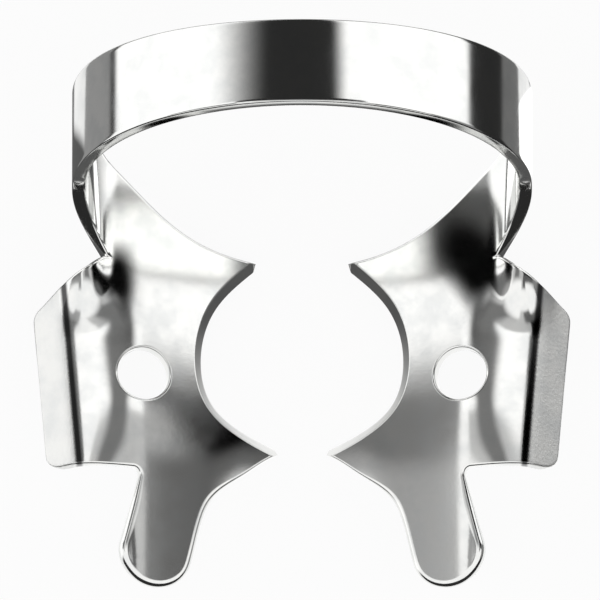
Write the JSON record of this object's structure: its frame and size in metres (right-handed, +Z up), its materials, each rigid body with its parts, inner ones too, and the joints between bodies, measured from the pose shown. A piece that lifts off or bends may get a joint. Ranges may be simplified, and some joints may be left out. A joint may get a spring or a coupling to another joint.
{
  "type": "rubber dam clamp",
  "caption": "Sprung steel clamp: an arched bow joins pronged jaws with forceps holes, side wings and front lobes, to grip a tooth and hold back a rubber sheet.",
  "frame": {"origin": "middle of the plan at the level of the prong tips, on which the clamp stands", "axes": "+Z up towards the top of the bow, +Y back from the jaws towards the bow, +X across the jaws"},
  "size_m": [0.028, 0.0276, 0.0172],
  "materials": {
    "steel": "tumbled and polished stainless spring steel, with matt ground outer wing strips"
  },
  "bodies": {
    "root": {"clamp": "steel"}
  },
  "joints": []
}
